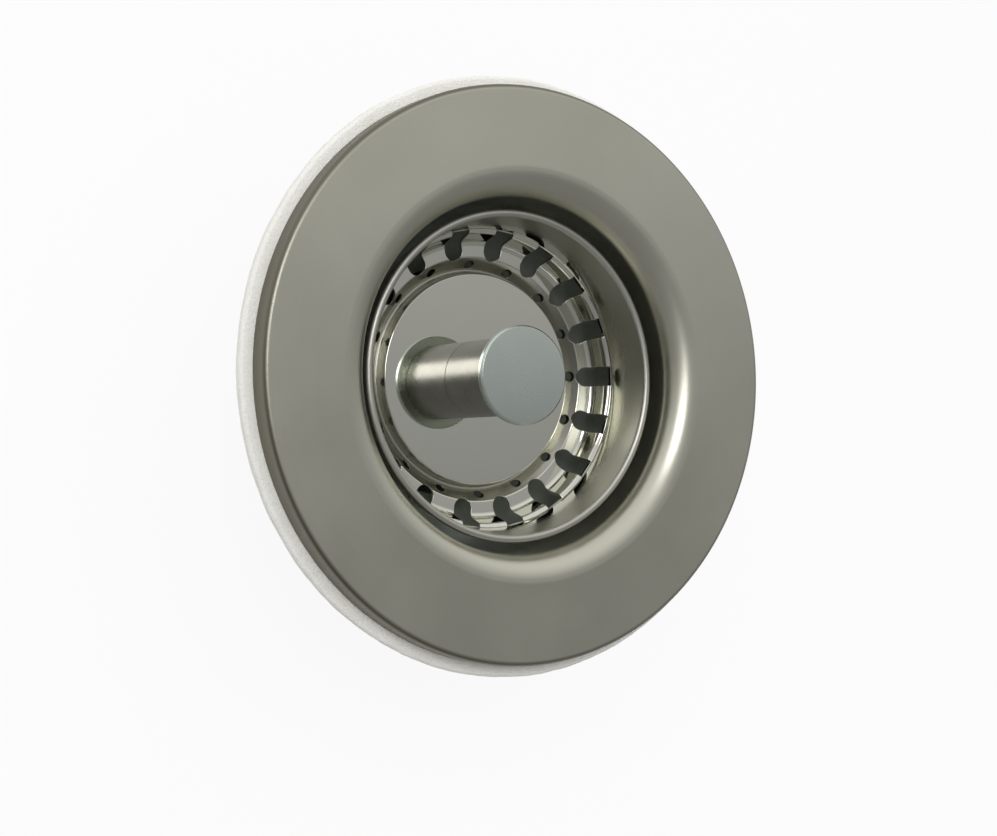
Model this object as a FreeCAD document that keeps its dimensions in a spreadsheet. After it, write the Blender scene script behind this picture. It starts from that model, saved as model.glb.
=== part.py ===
# Kitchen-sink basket strainer: a drawn steel body with a wide flange, a foam
# gasket under the flange, the clamping stack and lock nut below the sink deck,
# the threaded outlet with its crossbar, and the lift-out basket with its post,
# stopper and catch. The axis is +Z and the tail of the outlet stands at z = 0.
import FreeCAD
import Part
import Sketcher
import math
import os

doc = FreeCAD.newDocument("sink_strainer")
sheet = doc.addObject("Spreadsheet::Sheet", "dims")

# Driving sizes in millimetres, and counts. A fit or a clear is the gap that
# two pieces leave between them.
sizes = {
    # drawn body
    "flange_radius": 57.0,
    "flange_rise": 0.65,
    "flange_skirt": 4.8,
    "flange_edge_round": 1.2,
    "sheet_wall": 0.8,
    "throat_radius": 35.3,
    "nose_round": 5.2,
    "bowl_corner": 4.0,
    "bowl_thread_height": 0.9,
    "bowl_thread_drop": 10.5,
    "bowl_thread_length": 18.5,
    # outlet neck
    "tail_thread_radius": 23.9,
    "tail_thread_height": 1.5,
    "tail_thread_length": 20.0,
    "tail_chamfer": 0.8,
    "neck_wall": 2.9,
    "neck_relief_length": 5.8,
    "neck_flange_width": 7.5,
    "neck_flange_thick": 2.4,
    "neck_shoulder": 1.1,
    # crossbar and its bush
    "crossbar_thick": 4.0,
    "crossbar_ring": 2.2,
    "crossbar_fit": 0.1,
    "arm_width": 3.2,
    "arm_count": 3,
    "hub_wall": 1.7,
    "hub_overhang_low": 3.0,
    "hub_overhang_high": 1.0,
    "bush_wall": 1.2,
    "bush_lip": 1.0,
    "bush_fit": 0.05,
    "bush_clear": 2.0,
    # gaskets, washer and lock nut
    "foam_thick": 2.4,
    "foam_overhang": 2.6,
    "foam_inset": 1.7,
    "foam_edge_round": 0.9,
    "foam_clear": 0.3,
    "deck_space": 6.0,
    "rubber_thick": 3.2,
    "rubber_width": 10.0,
    "washer_thick": 1.2,
    "washer_width": 10.5,
    "ring_clear": 0.5,
    "nut_height": 8.0,
    "nut_hub_wall": 4.4,
    "nut_flange_width": 11.4,
    "nut_flange_thick": 2.6,
    "nut_thread_clear": 0.05,
    "lug_count": 8,
    "lug_width": 7.0,
    "lug_setback": 1.0,
    # basket shell, from its rim in to its plate
    "basket_wall": 0.7,
    "rim_clear": 2.1,
    "rim_drop": 5.8,
    "rim_bead": 0.8,
    "band_taper": 1.2,
    "band_height": 9.6,
    "crease_run": 0.9,
    "crease_fall": 0.4,
    "rib_run": 1.2,
    "rib_height": 3.9,
    "ledge_run": 3.2,
    "ledge_fall": 0.4,
    "valley_run": 2.7,
    "valley_fall": 2.6,
    "plate_run": 2.6,
    "plate_rise": 3.1,
    "rib_round": 1.4,
    "ledge_round": 0.5,
    "valley_round": 0.6,
    "plate_round": 3.2,
    "slot_count": 18,
    "slot_width": 3.5,
    "slot_reach": 0.5,
    "slot_land": 0.15,
    "slot_phase": 11.5,
    "drain_hole_radius": 0.95,
    "drain_hole_inset": 1.1,
    # post and knob
    "post_radius": 7.9,
    "post_wall": 0.9,
    "post_length": 16.3,
    "head_overhang": 2.0,
    "head_thick": 1.7,
    "head_chamfer": 0.35,
    "spigot_fit": 0.05,
    "spigot_length": 4.0,
    "rod_radius": 2.5,
    "rod_clear": 0.15,
    "rod_fit": 0.05,
    "rod_grip": 3.2,
    # stopper stack and catch below the basket
    "plate_washer_margin": 1.1,
    "plate_washer_thick": 1.2,
    "spacer_wall": 2.4,
    "spacer_length": 4.7,
    "backing_setback": 1.0,
    "backing_thick": 1.0,
    "stopper_overlap": 4.5,
    "stopper_slope": 6.0,
    "stopper_thick": 5.0,
    "stopper_lip": 1.6,
    "stopper_washer_radius": 10.0,
    "stopper_washer_thick": 1.0,
    "stopper_nut_wall": 1.5,
    "stopper_nut_height": 4.0,
    "catch_wall": 1.44,
    "catch_fit": 0.06,
    "catch_gap": 0.4,
    "catch_overhang": 2.0,
    "catch_lead": 0.35,
    "catch_groove_width": 1.2,
    "catch_groove_depth": 1.0,
    "catch_ring_thick": 1.0,
    "catch_ring_proud": 0.02,
    "end_cap_setback": 0.4,
    "end_cap_height": 3.6,
    "end_cap_skin": 1.0,
    "end_cap_round": 0.8,
}
for row, (name, value) in enumerate(sizes.items(), 1):
    sheet.set("A%d" % row, name)
    sheet.set("B%d" % row, str(value))
    sheet.setAlias("B%d" % row, name)
doc.recompute()


# A length keeps its value and the sheet expression that gives it.
class Length:
    def __init__(self, value, text):
        self.value = value
        self.text = text

    def __add__(self, other):
        return Length(self.value + other.value, "(%s + %s)" % (self.text, other.text))

    def __sub__(self, other):
        return Length(self.value - other.value, "(%s - %s)" % (self.text, other.text))

    def __mul__(self, factor):
        return Length(self.value * factor, "(%s * %.9f)" % (self.text, factor))


def dim(name):
    return Length(float(sheet.get(name)), "dims." + name)


zero = Length(0.0, "0")


def new_body(label):
    body = doc.addObject("PartDesign::Body", label)
    body.Label = label
    return body


# Sketch on one of the body's own origin planes, raised to a level if one is given.
def new_sketch(body, name, role, level=zero):
    sketch = body.newObject("Sketcher::SketchObject", name)
    for feature in body.Origin.OriginFeatures:
        if feature.Role == role:
            sketch.AttachmentSupport = [(feature, "")]
    sketch.MapMode = "FlatFace"
    sketch.setExpression("AttachmentOffset.Base.z", level.text)
    return sketch


# Fix a sketch point at two lengths from the sketch's origin.
def pin_point(sketch, line, end, across, along):
    for kind, place, axis in (("DistanceX", across, -2), ("DistanceY", along, -1)):
        if place.value == 0:
            sketch.addConstraint(Sketcher.Constraint("PointOnObject", line, end, axis))
        else:
            index = sketch.addConstraint(Sketcher.Constraint(kind, -1, 1, line, end, place.value))
            sketch.setExpression("Constraints[%d]" % index, place.text)


# Closed outline of straight lines through points given as pairs of lengths.
def outline(sketch, points):
    spots = [FreeCAD.Vector(a.value, b.value, 0) for a, b in points]
    count = len(spots)
    for i in range(count):
        sketch.addGeometry(Part.LineSegment(spots[i], spots[(i + 1) % count]), False)
    for i in range(count):
        sketch.addConstraint(Sketcher.Constraint("Coincident", i, 2, (i + 1) % count, 1))
    for i, (across, along) in enumerate(points):
        pin_point(sketch, i, 1, across, along)


# Circle in a sketch, with its centre and radius bound to lengths.
def circle(sketch, across, along, radius):
    centre = FreeCAD.Vector(across.value, along.value, 0)
    sketch.addGeometry(Part.Circle(centre, FreeCAD.Vector(0, 0, 1), radius.value))
    index = sketch.addConstraint(Sketcher.Constraint("Radius", 0, radius.value))
    sketch.setExpression("Constraints[%d]" % index, radius.text)
    pin_point(sketch, 0, 3, across, along)


def turn(body, kind, name, sketch):
    feature = body.newObject("PartDesign::" + kind, name)
    feature.Profile = sketch
    feature.ReferenceAxis = (sketch, ["V_Axis"])
    feature.Angle = 360.0
    doc.recompute()
    return feature


def revolve(body, name, points):
    sketch = new_sketch(body, name + "_profile", "XZ_Plane")
    outline(sketch, points)
    return turn(body, "Revolution", name, sketch)


def groove(body, name, points):
    before = body.Tip.Shape.Volume
    sketch = new_sketch(body, name + "_profile", "XZ_Plane")
    outline(sketch, points)
    feature = turn(body, "Groove", name, sketch)
    assert feature.Shape.Volume < before, name + " cut nothing"


def revolved(label, points):
    body = new_body(label)
    revolve(body, label + "_turn", points)
    return body


def tube(label, inner, outer, low, high):
    return revolved(label, [(inner, low), (outer, low), (outer, high), (inner, high)])


# Names of the circular edges at the given radii and heights.
def circle_edges(shape, spots):
    names = []
    for radius, height in spots:
        for i, item in enumerate(shape.Edges, 1):
            if not isinstance(item.Curve, Part.Circle):
                continue
            same_radius = abs(item.Curve.Radius - radius.value) < 1e-4
            if same_radius and abs(item.Curve.Center.z - height.value) < 1e-4:
                names.append("Edge%d" % i)
    assert len(names) >= len(spots), "an edge to round is missing"
    return names


def dress(body, kind, name, setting, size, spots):
    base = body.Tip
    feature = body.newObject("PartDesign::" + kind, name)
    feature.Base = (base, circle_edges(base.Shape, spots))
    feature.setExpression(setting, size.text)
    doc.recompute()


def round_over(body, name, radius, spots):
    dress(body, "Fillet", name, "Radius", radius, spots)


def bevel(body, name, size, spots):
    dress(body, "Chamfer", name, "Size", size, spots)


# Copy a feature round the axis of its body.
def spread(body, name, feature, count):
    pattern = body.newObject("PartDesign::PolarPattern", name)
    pattern.Originals = [feature]
    pattern.Axis = (feature.Profile[0], ["N_Axis"])
    pattern.Angle = 360.0
    pattern.setExpression("Occurrences", count.text)
    body.Tip = pattern
    doc.recompute()
    return pattern


# Straight bar along +X, raised from a level, and its copies round the axis.
def bars(body, name, start, stop, width, level, height, count):
    sketch = new_sketch(body, name + "_plan", "XY_Plane", level)
    outline(sketch, [
        (start, width * -0.5), (stop, width * -0.5), (stop, width * 0.5), (start, width * 0.5)])
    pad = body.newObject("PartDesign::Pad", name)
    pad.Profile = sketch
    pad.setExpression("Length", height.text)
    doc.recompute()
    spread(body, name + "_ring", pad, count)


# The far side of a sheet whose near side follows a path, to the left of it.
def sheet_back(path, wall):
    normals = []
    for (a, b), (c, d) in zip(path, path[1:]):
        run = c.value - a.value
        rise = d.value - b.value
        size = math.hypot(run, rise)
        normals.append((-rise / size, run / size))
    normals = [normals[0]] + normals + [normals[-1]]
    back = []
    for (across, along), (ax, ay), (bx, by) in zip(path, normals, normals[1:]):
        share = 1.0 + ax * bx + ay * by
        back.append((across + wall * ((ax + bx) / share), along + wall * ((ay + by) / share)))
    return back


# Heights, from the tail of the outlet up to the flange's edge.
wall = dim("sheet_wall")
skin = dim("basket_wall")
neck_foot = dim("tail_thread_length") + dim("neck_relief_length")
floor_under = neck_foot + dim("neck_flange_thick")
floor = floor_under + wall
stopper_top = floor + dim("stopper_thick")
backing_top = stopper_top + dim("backing_thick")
plate_washer_low = backing_top + dim("spacer_length")
plate_under = plate_washer_low + dim("plate_washer_thick")
plate_top = plate_under + skin
valley = plate_top - dim("plate_rise")
ledge = valley + dim("valley_fall")
rib_foot = ledge + dim("ledge_fall")
rib_top = rib_foot + dim("rib_height")
crease = rib_top + dim("crease_fall")
bead_level = crease + dim("band_height")
edge = bead_level + dim("rim_bead") + dim("rim_drop")
skirt_foot = edge - dim("flange_skirt")
seat = skirt_foot - dim("foam_thick")

# Heights below the bowl floor, from the stopper's washer down to the end cap.
stopper_washer_low = floor - dim("stopper_washer_thick")
stopper_nut_low = stopper_washer_low - dim("stopper_nut_height")
bush_top = stopper_nut_low - dim("bush_clear")
hub_high = bush_top - dim("bush_lip")
bar_high = hub_high - dim("hub_overhang_high")
shoulder = bar_high - dim("crossbar_thick")
hub_low = shoulder - dim("hub_overhang_low")
catch_top = stopper_nut_low - dim("catch_gap")
catch_low = hub_low - dim("catch_overhang")
cap_top = catch_low - dim("catch_gap")
cap_low = cap_top - dim("end_cap_height")
rod_low = cap_low + dim("end_cap_skin")

# Radii that more than one piece shares.
throat = dim("throat_radius")
bowl_thread = throat + wall + dim("bowl_thread_height")
tail_thread = dim("tail_thread_radius")
relief = tail_thread - dim("tail_thread_height")
outlet = relief - dim("neck_wall")
rod = dim("rod_radius")
rod_hole = rod + dim("rod_clear")
rod_seat = rod + dim("rod_fit")
catch_bore = rod + dim("catch_fit")
catch = catch_bore + dim("catch_wall")
bush_bore = catch + dim("catch_fit")
bush_outer = bush_bore + dim("bush_wall")
hub_bore = bush_outer + dim("bush_fit")
hub = hub_bore + dim("hub_wall")

# Drawn body: skirt, sloping flange, rounded nose, throat wall and bowl floor.
flange = dim("flange_radius")
body_path = [
    (flange, skirt_foot),
    (flange, edge),
    (throat, edge + dim("flange_rise")),
    (throat, floor),
    (outlet, floor),
]
body_back = sheet_back(body_path, wall)
strainer_body = revolved("strainer_body", body_path + body_back[::-1])
round_over(strainer_body, "nose", dim("nose_round"), [body_path[2]])
round_over(strainer_body, "nose_under", dim("nose_round") - wall, [body_back[2]])
round_over(strainer_body, "bowl_inside", dim("bowl_corner"), [body_path[3]])
round_over(strainer_body, "bowl_outside", dim("bowl_corner") + wall, [body_back[3]])
round_over(strainer_body, "flange_edge", dim("flange_edge_round"), [body_path[1]])
thread_root = throat + wall * 0.5
thread_high = edge - dim("bowl_thread_drop")
thread_low = thread_high - dim("bowl_thread_length")
revolve(strainer_body, "thread_band", [
    (thread_root, thread_low), (bowl_thread, thread_low),
    (bowl_thread, thread_high), (thread_root, thread_high)])

# Outlet neck brazed under the bowl floor, threaded at the tail.
neck_flange = outlet + dim("neck_flange_width")
neck_bore = outlet - dim("neck_shoulder")
outlet_neck = revolved("outlet_neck", [
    (outlet, floor_under),
    (neck_flange, floor_under),
    (neck_flange, neck_foot),
    (relief, neck_foot),
    (relief, dim("tail_thread_length")),
    (tail_thread, dim("tail_thread_length")),
    (tail_thread, zero),
    (neck_bore, zero),
    (neck_bore, shoulder),
    (outlet, shoulder),
])
bevel(outlet_neck, "tail_lead", dim("tail_chamfer"), [(tail_thread, zero)])

# Crossbar: a ring on the neck's shoulder, three arms and a hub for the bush.
bar_outer = outlet - dim("crossbar_fit")
bar_inner = bar_outer - dim("crossbar_ring")
crossbar = tube("crossbar", bar_inner, bar_outer, shoulder, bar_high)
bars(crossbar, "arm", hub_bore + dim("hub_wall") * 0.5, bar_inner + dim("crossbar_ring") * 0.5,
     dim("arm_width"), shoulder, dim("crossbar_thick"), dim("arm_count"))
revolve(crossbar, "hub", [
    (hub_bore, hub_low), (hub, hub_low), (hub, hub_high), (hub_bore, hub_high)])

# Bush in the hub: its lip lies on the hub's top, its bore guides the catch.
catch_bush = revolved("catch_bush", [
    (bush_bore, hub_low), (bush_outer, hub_low), (bush_outer, hub_high),
    (hub, hub_high), (hub, bush_top), (bush_bore, bush_top)])

# White foam gasket: it fills the hollow under the flange and shows round its edge.
foam_bore = throat + wall + dim("nose_round") + dim("foam_inset")
foam_outer = flange + dim("foam_overhang")
foam_land = flange - wall - dim("foam_clear")
slope = dim("flange_rise").value / (flange.value - throat.value)


# Height that clears the flange's sloping underside at a radius.
def under_flange(radius):
    return edge + (flange - radius) * slope - wall * math.hypot(1, slope) - dim("foam_clear")


flange_gasket = revolved("flange_gasket", [
    (foam_bore, seat),
    (foam_outer, seat),
    (foam_outer, skirt_foot),
    (foam_land, skirt_foot),
    (foam_land, under_flange(foam_land)),
    (foam_bore, under_flange(foam_bore)),
])
round_over(flange_gasket, "foam_edge", dim("foam_edge_round"),
           [(foam_outer, seat), (foam_outer, skirt_foot)])

# Clamping rings below the sink deck.
rubber_high = seat - dim("deck_space")
rubber_low = rubber_high - dim("rubber_thick")
washer_low = rubber_low - dim("washer_thick")
ring_bore = bowl_thread + dim("ring_clear")
sink_gasket = tube("sink_gasket", ring_bore, ring_bore + dim("rubber_width"), rubber_low, rubber_high)
friction_washer = tube(
    "friction_washer", ring_bore, ring_bore + dim("washer_width"), washer_low, rubber_low)

# Lock nut: threaded hub, clamping flange and lugs for the wrench.
nut_low = washer_low - dim("nut_height")
nut_step = washer_low - dim("nut_flange_thick")
nut_bore = bowl_thread + dim("nut_thread_clear")
nut_hub = nut_bore + dim("nut_hub_wall")
nut_rim = nut_bore + dim("nut_flange_width")
lock_nut = revolved("lock_nut", [
    (nut_bore, nut_low), (nut_hub, nut_low), (nut_hub, nut_step),
    (nut_rim, nut_step), (nut_rim, washer_low), (nut_bore, washer_low)])
bars(lock_nut, "lug", nut_bore + dim("nut_hub_wall") * 0.5, nut_rim - dim("lug_setback"),
     dim("lug_width"), nut_low, dim("nut_height") - dim("nut_flange_thick") * 0.5, dim("lug_count"))

# Basket shell: band, S-shaped ribs, ledge, drain valley and raised flat plate,
# drawn from one sheet, with a rolled bead round the rim.
bead = dim("rim_bead")
bead_middle = throat - dim("rim_clear") - bead
band_top_radius = bead_middle - bead
crease_radius = band_top_radius - dim("band_taper")
rib_top_radius = crease_radius - dim("crease_run")
rib_foot_radius = rib_top_radius - dim("rib_run")
ledge_radius = rib_foot_radius - dim("ledge_run")
valley_radius = ledge_radius - dim("valley_run")
plate_radius = valley_radius - dim("plate_run")
shell_path = [
    (band_top_radius, bead_level),
    (crease_radius, crease),
    (rib_top_radius, rib_top),
    (rib_foot_radius, rib_foot),
    (ledge_radius, ledge),
    (valley_radius, valley),
    (plate_radius, plate_top),
    (rod_hole, plate_top),
]
shell_back = sheet_back(shell_path, skin)
basket_shell = revolved("basket_shell", shell_path + shell_back[::-1])
round_over(basket_shell, "rib_head", dim("ledge_round"), [shell_path[2]])
round_over(basket_shell, "rib_inside", dim("rib_round"), [shell_path[3]])
round_over(basket_shell, "rib_outside", dim("rib_round") + skin, [shell_back[3]])
round_over(basket_shell, "ledge_inside", dim("ledge_round") + skin, [shell_path[4]])
round_over(basket_shell, "ledge_outside", dim("ledge_round"), [shell_back[4]])
round_over(basket_shell, "valley_inside", dim("valley_round"), [shell_path[5]])
round_over(basket_shell, "valley_outside", dim("valley_round") + skin, [shell_back[5]])
round_over(basket_shell, "plate_inside", dim("plate_round"), [shell_path[6]])
round_over(basket_shell, "plate_outside", dim("plate_round") - skin, [shell_back[6]])
bead_sketch = new_sketch(basket_shell, "bead_profile", "XZ_Plane")
circle(bead_sketch, bead_middle, bead_level, bead)
turn(basket_shell, "Revolution", "bead_turn", bead_sketch)


# Cut straight up through the shell and repeat the cut round the axis.
def pierce(name, sketch):
    before = basket_shell.Tip.Shape.Volume
    cut = basket_shell.newObject("PartDesign::Pocket", name)
    cut.Profile = sketch
    cut.Type = "ThroughAll"
    cut.Reversed = True
    doc.recompute()
    one = before - cut.Shape.Volume
    assert one > 0, name + " cut nothing"
    pattern = spread(basket_shell, name + "_ring", cut, dim("slot_count"))
    taken = before - pattern.Shape.Volume
    assert abs(taken / one / dim("slot_count").value - 1) < 0.05, name + " pattern is uneven"


# Slot: a round end on the valley's outer slope, square against the crease.
slot_start = ledge_radius - dim("slot_reach")
slot_near = slot_start + dim("slot_width") * 0.5
slot_far = crease_radius - dim("slot_land")
slot_corners = [
    (slot_near, dim("slot_width") * -0.5),
    (slot_far, dim("slot_width") * -0.5),
    (slot_far, dim("slot_width") * 0.5),
    (slot_near, dim("slot_width") * 0.5),
]
slot_spots = [FreeCAD.Vector(a.value, b.value, 0) for a, b in slot_corners]
slot_tip = FreeCAD.Vector(slot_start.value, 0, 0)
slot_sketch = new_sketch(basket_shell, "slot_plan", "XY_Plane", floor)
for start, stop in zip(slot_spots, slot_spots[1:]):
    slot_sketch.addGeometry(Part.LineSegment(start, stop), False)
slot_sketch.addGeometry(Part.Arc(slot_spots[3], slot_tip, slot_spots[0]), False)
slot_sketch.addConstraint(Sketcher.Constraint("Coincident", 0, 2, 1, 1))
slot_sketch.addConstraint(Sketcher.Constraint("Coincident", 1, 2, 2, 1))
slot_sketch.addConstraint(Sketcher.Constraint("Tangent", 2, 2, 3, 1))
slot_sketch.addConstraint(Sketcher.Constraint("Coincident", 3, 2, 0, 1))
for i in range(3):
    pin_point(slot_sketch, i, 1, *slot_corners[i])
pin_point(slot_sketch, 2, 2, *slot_corners[3])
pierce("slot", slot_sketch)

# Small hole on the valley's outer slope, half-way between two slots.
hole_sketch = new_sketch(basket_shell, "hole_plan", "XY_Plane", floor)
hole_place = ledge_radius - dim("drain_hole_inset")
half_pitch = math.pi / dim("slot_count").value
circle(hole_sketch, hole_place * math.cos(half_pitch), hole_place * math.sin(half_pitch),
       dim("drain_hole_radius"))
pierce("drain_hole", hole_sketch)
basket_shell.Placement = FreeCAD.Placement(
    FreeCAD.Vector(), FreeCAD.Rotation(FreeCAD.Vector(0, 0, 1), dim("slot_phase").value))

# Knob: a flat disc with a spigot in the post's sleeve, screwed on the rod's end.
post = dim("post_radius")
head = post + dim("head_overhang")
head_low = plate_top + dim("post_length")
head_top = head_low + dim("head_thick")
sleeve_bore = post - dim("post_wall")
spigot = sleeve_bore - dim("spigot_fit")
spigot_low = head_low - dim("spigot_length")
rod_top = spigot_low + dim("rod_grip")
knob_cap = revolved("knob_cap", [
    (zero, head_top),
    (zero, rod_top + dim("rod_clear")),
    (rod_seat, rod_top + dim("rod_clear")),
    (rod_seat, spigot_low),
    (spigot, spigot_low),
    (spigot, head_low),
    (head, head_low),
    (head, head_top),
])
bevel(knob_cap, "head_edges", dim("head_chamfer"), [(head, head_low), (head, head_top)])
post_sleeve = tube("post_sleeve", sleeve_bore, post, plate_top, head_low)

# Stack on the rod from the basket's plate down to the stopper on the bowl floor.
stopper_radius = outlet + dim("stopper_overlap")
stopper_crown = stopper_radius - dim("stopper_slope")
plate_washer = tube(
    "plate_washer", rod_hole, post + dim("plate_washer_margin"), plate_washer_low, plate_under)
spacer = tube("spacer", rod_hole, rod_hole + dim("spacer_wall"), backing_top, plate_washer_low)
stopper_backing = tube(
    "stopper_backing", rod_hole, stopper_crown - dim("backing_setback"), stopper_top, backing_top)
stopper = revolved("stopper", [
    (rod_hole, floor),
    (stopper_radius, floor),
    (stopper_radius, floor + dim("stopper_lip")),
    (stopper_crown, stopper_top),
    (rod_hole, stopper_top),
])
stopper_washer = tube(
    "stopper_washer", rod_hole, dim("stopper_washer_radius"), stopper_washer_low, floor)

# Hexagon nut under the stopper's washer.
nut_inner = rod + dim("stopper_nut_wall")
nut_blank = doc.addObject("Part::Prism", "nut_blank")
nut_blank.Polygon = 6
nut_blank.setExpression("Circumradius", "%s / cos(30 deg)" % nut_inner.text)
nut_blank.setExpression("Height", "dims.stopper_nut_height")
nut_blank.setExpression("Placement.Base.z", stopper_nut_low.text)
nut_hole = doc.addObject("Part::Cylinder", "nut_hole")
nut_hole.setExpression("Radius", rod_seat.text)
nut_hole.setExpression("Height", "dims.stopper_nut_height")
nut_hole.setExpression("Placement.Base.z", stopper_nut_low.text)
stopper_nut = doc.addObject("Part::Cut", "stopper_nut")
stopper_nut.Base = nut_blank
stopper_nut.Tool = nut_hole

# Catch: a sleeve that turns on the rod and slides in the bush, with a rubber ring.
catch_sleeve = tube("catch_sleeve", catch_bore, catch, catch_low, catch_top)
bevel(catch_sleeve, "catch_edge", dim("catch_lead"), [(catch, catch_low)])
ring_level = (catch_low + catch_top) * 0.5
ring_root = catch - dim("catch_groove_depth")
ring_outer = catch + dim("catch_ring_proud")
half_groove = dim("catch_groove_width") * 0.5
groove(catch_sleeve, "ring_groove", [
    (ring_root, ring_level - half_groove), (ring_outer, ring_level - half_groove),
    (ring_outer, ring_level + half_groove), (ring_root, ring_level + half_groove)])
half_ring = dim("catch_ring_thick") * 0.5
catch_ring = doc.addObject("Part::Torus", "catch_ring")
catch_ring.setExpression("Radius1", (ring_outer - half_ring).text)
catch_ring.setExpression("Radius2", half_ring.text)
catch_ring.setExpression("Placement.Base.z", ring_level.text)

# End cap on the rod's foot, which keeps the catch on the rod.
cap = catch - dim("end_cap_setback")
end_cap = revolved("end_cap", [
    (zero, cap_low), (cap, cap_low), (cap, cap_top),
    (rod_seat, cap_top), (rod_seat, rod_low), (zero, rod_low)])
round_over(end_cap, "cap_nose", dim("end_cap_round"), [(cap, cap_low)])
post_rod = revolved("post_rod", [(zero, rod_low), (rod, rod_low), (rod, rod_top), (zero, rod_top)])

doc.recompute()
pieces = [
    strainer_body, flange_gasket, outlet_neck, crossbar, catch_bush,
    sink_gasket, friction_washer, lock_nut,
    basket_shell, knob_cap, post_sleeve, post_rod, plate_washer, spacer,
    stopper_backing, stopper, stopper_washer, stopper_nut, end_cap,
    catch_sleeve, catch_ring,
]
for item in doc.Objects:
    assert "Invalid" not in item.State and "Error" not in item.State, item.Label + " failed"
for piece in pieces:
    assert not piece.Shape.isNull() and piece.Shape.isValid(), piece.Label + " isn't a valid shape"
    assert len(piece.Shape.Solids) == 1, piece.Label + " isn't one solid"
os.makedirs("parts", exist_ok=True)
for piece in pieces:
    piece.Shape.exportStep("parts/%s.step" % piece.Label)
    box = piece.Shape.BoundBox
    print("%-16s z %6.2f to %6.2f, volume %8.1f" % (piece.Label, box.ZMin, box.ZMax, piece.Shape.Volume))
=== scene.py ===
import math
from collections import namedtuple
import bpy
from mathutils import Matrix, Vector, noise
from mathutils.geometry import delaunay_2d_cdt


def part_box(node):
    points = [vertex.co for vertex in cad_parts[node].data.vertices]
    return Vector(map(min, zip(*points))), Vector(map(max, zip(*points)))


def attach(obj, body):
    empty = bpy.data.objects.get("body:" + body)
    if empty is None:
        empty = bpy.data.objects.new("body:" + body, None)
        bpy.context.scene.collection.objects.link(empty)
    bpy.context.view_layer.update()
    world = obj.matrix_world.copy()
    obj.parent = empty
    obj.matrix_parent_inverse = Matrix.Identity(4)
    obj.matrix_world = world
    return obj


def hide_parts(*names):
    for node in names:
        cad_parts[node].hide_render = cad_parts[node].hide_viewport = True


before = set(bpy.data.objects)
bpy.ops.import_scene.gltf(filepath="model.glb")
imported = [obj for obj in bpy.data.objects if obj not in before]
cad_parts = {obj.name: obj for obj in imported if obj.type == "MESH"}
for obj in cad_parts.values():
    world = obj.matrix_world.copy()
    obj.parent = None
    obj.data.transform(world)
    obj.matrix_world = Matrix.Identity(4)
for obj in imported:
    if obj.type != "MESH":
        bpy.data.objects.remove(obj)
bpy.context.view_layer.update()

mm = 0.001
tiny = 1e-6  # mm, for sizes that are the same
scene = bpy.context.scene
print("frame loaded:", len(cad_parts), "nodes")


# node helpers
def wire(tree, source, target):
    tree.links.new(source, target)


def mathNode(tree, kind, *values):
    node = tree.nodes.new("ShaderNodeMath")
    node.operation = kind
    for socket, value in zip(node.inputs, values):
        if isinstance(value, (int, float)):
            socket.default_value = value
        else:
            wire(tree, value, socket)
    return node.outputs[0]


def rangeNode(tree, value, fromLow, fromHigh, toLow, toHigh, smooth=False):
    node = tree.nodes.new("ShaderNodeMapRange")
    node.interpolation_type = "SMOOTHSTEP" if smooth else "LINEAR"
    wire(tree, value, node.inputs["Value"])
    limits = {"From Min": fromLow, "From Max": fromHigh, "To Min": toLow, "To Max": toHigh}
    for socket, number in limits.items():
        node.inputs[socket].default_value = number
    return node.outputs["Result"]


def mixColour(tree, share, first, second):
    node = tree.nodes.new("ShaderNodeMix")
    node.data_type = "RGBA"
    wire(tree, share, node.inputs["Factor"])
    for name, value in (("A", first), ("B", second)):
        socket = next(s for s in node.inputs if s.name == name and s.type == "RGBA")
        if isinstance(value, tuple):
            socket.default_value = (*value, 1)
        else:
            wire(tree, value, socket)
    return next(s for s in node.outputs if s.type == "RGBA")


def newGroup(name, inputs, outputs):
    group = bpy.data.node_groups.new(name, "ShaderNodeTree")
    for socket, value in inputs.items():
        made = group.interface.new_socket(name=socket, in_out="INPUT", socket_type="NodeSocketFloat")
        made.default_value = value
    for socket in outputs:
        group.interface.new_socket(name=socket, in_out="OUTPUT", socket_type="NodeSocketFloat")
    return group, group.nodes.new("NodeGroupInput"), group.nodes.new("NodeGroupOutput")


def objectPlace(tree):
    return tree.nodes.new("ShaderNodeTexCoord").outputs["Object"]


def objectParts(tree):
    parts = tree.nodes.new("ShaderNodeSeparateXYZ")
    wire(tree, objectPlace(tree), parts.inputs[0])
    return parts.outputs


def axisReach(tree, parts):
    across, along = parts["X"], parts["Y"]
    square = mathNode(tree, "MULTIPLY", along, along)
    return mathNode(tree, "SQRT", mathNode(tree, "MULTIPLY_ADD", across, across, square))


def perMetre(tree, perMillimetre):
    return mathNode(tree, "MULTIPLY", perMillimetre, 1 / mm)


def scaled(tree, vector, value):
    node = tree.nodes.new("ShaderNodeVectorMath")
    node.operation = "SCALE"
    wire(tree, vector, node.inputs[0])
    wire(tree, value, node.inputs["Scale"])
    return node.outputs[0]


def noiseNode(tree, vector, detail, roughness):
    node = tree.nodes.new("ShaderNodeTexNoise")
    node.inputs["Scale"].default_value = 1
    node.inputs["Detail"].default_value = detail
    node.inputs["Roughness"].default_value = roughness
    wire(tree, vector, node.inputs["Vector"])
    return node.outputs["Fac"]


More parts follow.
